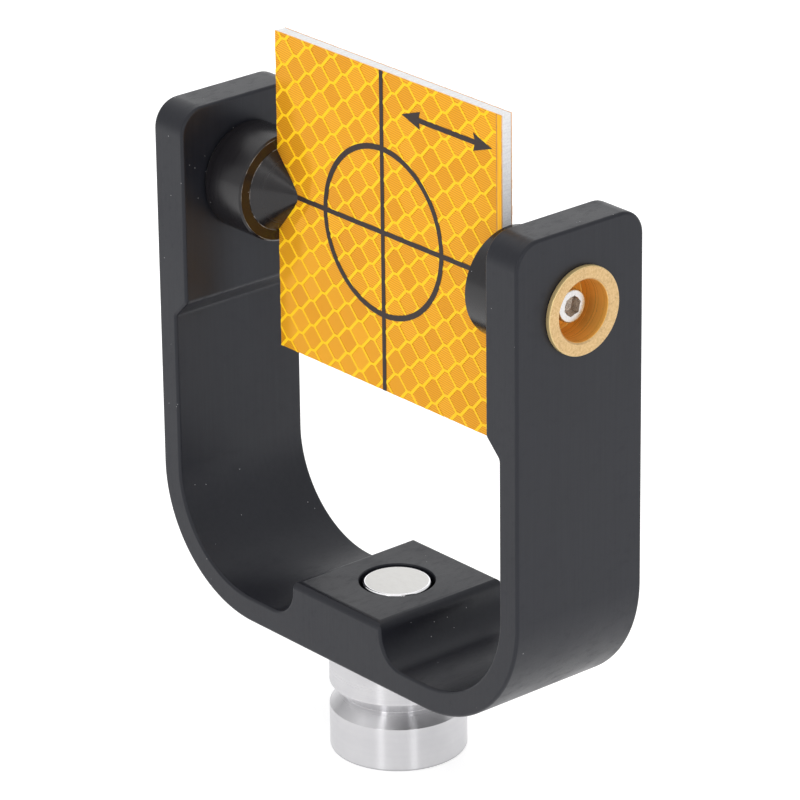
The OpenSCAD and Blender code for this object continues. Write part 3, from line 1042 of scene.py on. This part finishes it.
def make_sheet(side, node, name, seed):
    """Embossed sheet: the cells cut to the plate's outline and closed behind. Side -1 is the front."""
    rng = random.Random(seed)
    bm = bmesh.new()
    tone_layer = bm.faces.layers.float.new("cell_tone")
    columns = math.ceil(PLATE_HALF / CELL_PITCH_X) + 1
    rows = math.ceil(PLATE_HALF / CELL_PITCH_Z) + 1
    for i in range(-columns, columns + 1):
        for k in range(-rows, rows + 1):
            shift = CELL_PITCH_Z / 2 if i % 2 == 0 else 0
            centre = (CELL_PHASE[0] + i * CELL_PITCH_X, CELL_PHASE[1] + k * CELL_PITCH_Z + shift)
            add_cell(bm, tone_layer, centre, rng)
    bmesh.ops.remove_doubles(bm, verts=bm.verts[:], dist=1e-4)
    for normal in ((1, 0, 0), (-1, 0, 0), (0, 0, 1), (0, 0, -1)):
        everything = bm.verts[:] + bm.edges[:] + bm.faces[:]
        bmesh.ops.bisect_plane(bm, geom=everything, dist=1e-5, plane_co=Vector(normal) * PLATE_HALF,
                               plane_no=normal, clear_outer=True)
    thickness = SHEET_FACE - CORE_FACE
    rim = [e for e in bm.edges if e.is_boundary]
    grown = bmesh.ops.extrude_edge_only(bm, edges=rim)["geom"]
    back = [v for v in grown if isinstance(v, bmesh.types.BMVert)]
    for v in back:
        v.co.y = thickness
    for face in {f for v in back for f in v.link_faces}:
        face.material_index = EDGE_SLOT
    made = bmesh.ops.contextual_create(bm, geom=[e for e in bm.edges if e.is_boundary])
    for face in made["faces"]:
        face.material_index = EDGE_SLOT
    bmesh.ops.recalc_face_normals(bm, faces=bm.faces[:])
    bm.transform(Matrix.Translation((0, -SHEET_FACE, 0)))
    bm.transform(Matrix.Translation((0, 0, AXIS_Z)) @ facing(side))
    piece = mesh_piece(name, bm)
    for material in (CELL, SEAM, SHEET_EDGE):
        piece.data.materials.append(material)
    stands_for(piece, node, None)


def flat_prism(name, outline, low, high):
    """Thin piece on the plate's face from an (x, z) outline."""
    return mesh_piece(name, prism([(x, low, z) for x, z in outline], (0, high - low, 0)))


def bar(x0, x1, z0, z1):
    """Outline of a rectangle."""
    return [(x0, z0), (x1, z0), (x1, z1), (x0, z1)]


def double_arrow(x0, x1, z):
    """Outline of a line from x0 to x1 with an arrow head at each end."""
    head_l, head_half, line_half = 4.8, 1.65, 0.48
    notch = 0.35
    upper = [(x1, 0), (x1 - head_l, head_half), (x1 - head_l + notch, line_half),
             (x0 + head_l - notch, line_half), (x0 + head_l, head_half), (x0, 0)]
    lower = [(x, -dz) for x, dz in reversed(upper[1:-1])]
    return [(x, z + dz) for x, dz in upper + lower]


def make_print(side, word):
    """Cross-hair, circle and double arrow, with the score line and the plain margin at the sheet's side."""
    face = -SHEET_FACE
    ink_out, score_out, margin_out = face - 0.02, face - 0.008, face - 0.014
    bottom = face + 0.03
    cross_x = -1.25
    line_half = 0.47
    ring_in, ring_out = 15.55 - 0.52, 15.55 + 0.52
    reach = PLATE_HALF - 0.03
    hidden_by_cone = PLATE_HALF - CONE_H + 1.2
    bm = bmesh.new()
    section = [(ring_out, ink_out), (ring_out, bottom), (ring_in, bottom), (ring_in, ink_out)]
    revolve(bm, section, 144)
    bm.transform(Matrix.Translation((cross_x, 0, 0)) @ Matrix.Rotation(-math.pi / 2, 4, "X"))
    marks = mesh_piece("printed_marks_" + word, bm)
    shapes = [
        bar(cross_x - line_half, cross_x + line_half, -reach, reach),
        bar(-hidden_by_cone, hidden_by_cone, -line_half, line_half),
        double_arrow(4.2, 27.6, 23.4),
    ]
    for shape in shapes:
        cut(marks, flat_prism("cutter", shape, ink_out, bottom), "UNION")
    score_bar = bar(SCORE_X, MARGIN_X, -reach, reach)
    score = flat_prism("score_line_" + word, score_bar, score_out, bottom)
    margin_bar = bar(MARGIN_X, PLATE_HALF, -reach, reach)
    margin = flat_prism("sheet_margin_" + word, margin_bar, margin_out, bottom)
    for mark, material in ((marks, INK), (score, SCORE), (margin, MARGIN)):
        mark.data.transform(Matrix.Translation((0, 0, AXIS_Z * MM)) @ facing(side))
        mark.data.materials.clear()
        mark.data.materials.append(material)
        smooth(mark)
        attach(mark, "target")


# ---------------------------------------------------------------- camera, floor and light

# Camera fitted to the photo: angles in degrees, lens in millimetres, lengths in metres
CAMERA_AZIMUTH = 49.54
CAMERA_ELEVATION = 22.98
CAMERA_ROLL = -0.68
CAMERA_DISTANCE = 0.92984
CAMERA_LENS = 236.4
LOOK_RIGHT = 0.00092
LOOK_HEIGHT = 0.06734


def make_camera():
    """Camera that looks from the photo's direction."""
    azimuth, elevation, roll = map(math.radians, (CAMERA_AZIMUTH, CAMERA_ELEVATION, CAMERA_ROLL))
    level = math.cos(elevation)
    back = Vector((math.sin(azimuth) * level, -math.cos(azimuth) * level, math.sin(elevation)))
    right = Vector((math.cos(azimuth), math.sin(azimuth), 0))
    up = back.cross(right)
    rolled_right = right * math.cos(roll) + up * math.sin(roll)
    rolled_up = up * math.cos(roll) - right * math.sin(roll)
    camera = bpy.data.objects.new("camera", bpy.data.cameras.new("camera"))
    camera.data.lens = CAMERA_LENS
    camera.data.sensor_width = 36
    camera.data.clip_start, camera.data.clip_end = 0.01, 20
    place = Matrix((rolled_right, rolled_up, back)).transposed().to_4x4()
    place.translation = right * LOOK_RIGHT + Vector((0, 0, LOOK_HEIGHT)) + back * CAMERA_DISTANCE
    camera.matrix_world = place
    bpy.context.scene.collection.objects.link(camera)
    bpy.context.scene.camera = camera


def make_floor():
    """Pale floor with a light of its own, which keeps it as white as in the photo."""
    s = Shade("pale_floor")
    cloud = s.noise(s.place(), 0.02, 2)
    s.set(Base_Color=s.ramp(cloud, (0.61, 0.61, 0.61), (0.64, 0.64, 0.64)), Roughness=0.7)
    s.set(Emission_Color=(1, 1, 1, 1), Emission_Strength=0.64)
    bm = bmesh.new()
    bmesh.ops.create_grid(bm, x_segments=4, y_segments=4, size=3000)
    floor = mesh_piece("floor", bm)
    floor.data.materials.append(s.material)


def softbox(name, position, width, height, power):
    """Area light that looks at the middle of the object. Metres and watts."""
    middle = Vector((0, 0, 0.06))
    light = bpy.data.lights.new(name, "AREA")
    light.shape = "RECTANGLE"
    light.size, light.size_y = width, height
    light.energy = power
    box = bpy.data.objects.new(name, light)
    box.location = position
    box.rotation_mode = "QUATERNION"
    box.rotation_quaternion = (middle - Vector(position)).to_track_quat("-Z", "Y")
    bpy.context.scene.collection.objects.link(box)


def make_lights():
    """Soft studio light: two upright strips draw the light bands on the barrel, the rest is even."""
    softbox("top_light", (-0.2, -0.1, 1.2), 1.6, 1.6, 3.5)
    softbox("back_light", (-1.0, 0.85, 0.6), 1.2, 0.8, 1.6)
    softbox("left_strip", (0.46, -1.264, 0.6), 0.24, 0.6, 2.0)
    softbox("right_strip", (1.293, -0.371, 0.6), 0.24, 0.6, 2.0)
    softbox("side_light", (1.03, 0.145, 1.0), 0.4, 0.5, 1.0)
    world = bpy.data.worlds.new("studio")
    world.use_nodes = True
    background = world.node_tree.nodes["Background"].inputs
    background["Color"].default_value = (1, 1, 1, 1)
    background["Strength"].default_value = 0.8
    bpy.context.scene.world = world
    bpy.context.scene.view_settings.view_transform = "Standard"


# ---------------------------------------------------------------- everything together

make_camera()
make_floor()
make_lights()

make_yoke()
make_socket()
make_pin()
make_swivel_washers()
for side, word in ((-1, "left"), (1, "right")):
    make_hub(side, word)
    make_cone(side, word)
    make_journal(side, word)
    make_friction_washer(side, word)
    make_screw(side, word)
    make_lock_washer(side, word)
make_core()
make_sheet(-1, "front_sheet", "embossed_sheet_front", 7)
make_sheet(1, "rear_sheet", "embossed_sheet_rear", 8)
make_print(-1, "front")
make_print(1, "rear")
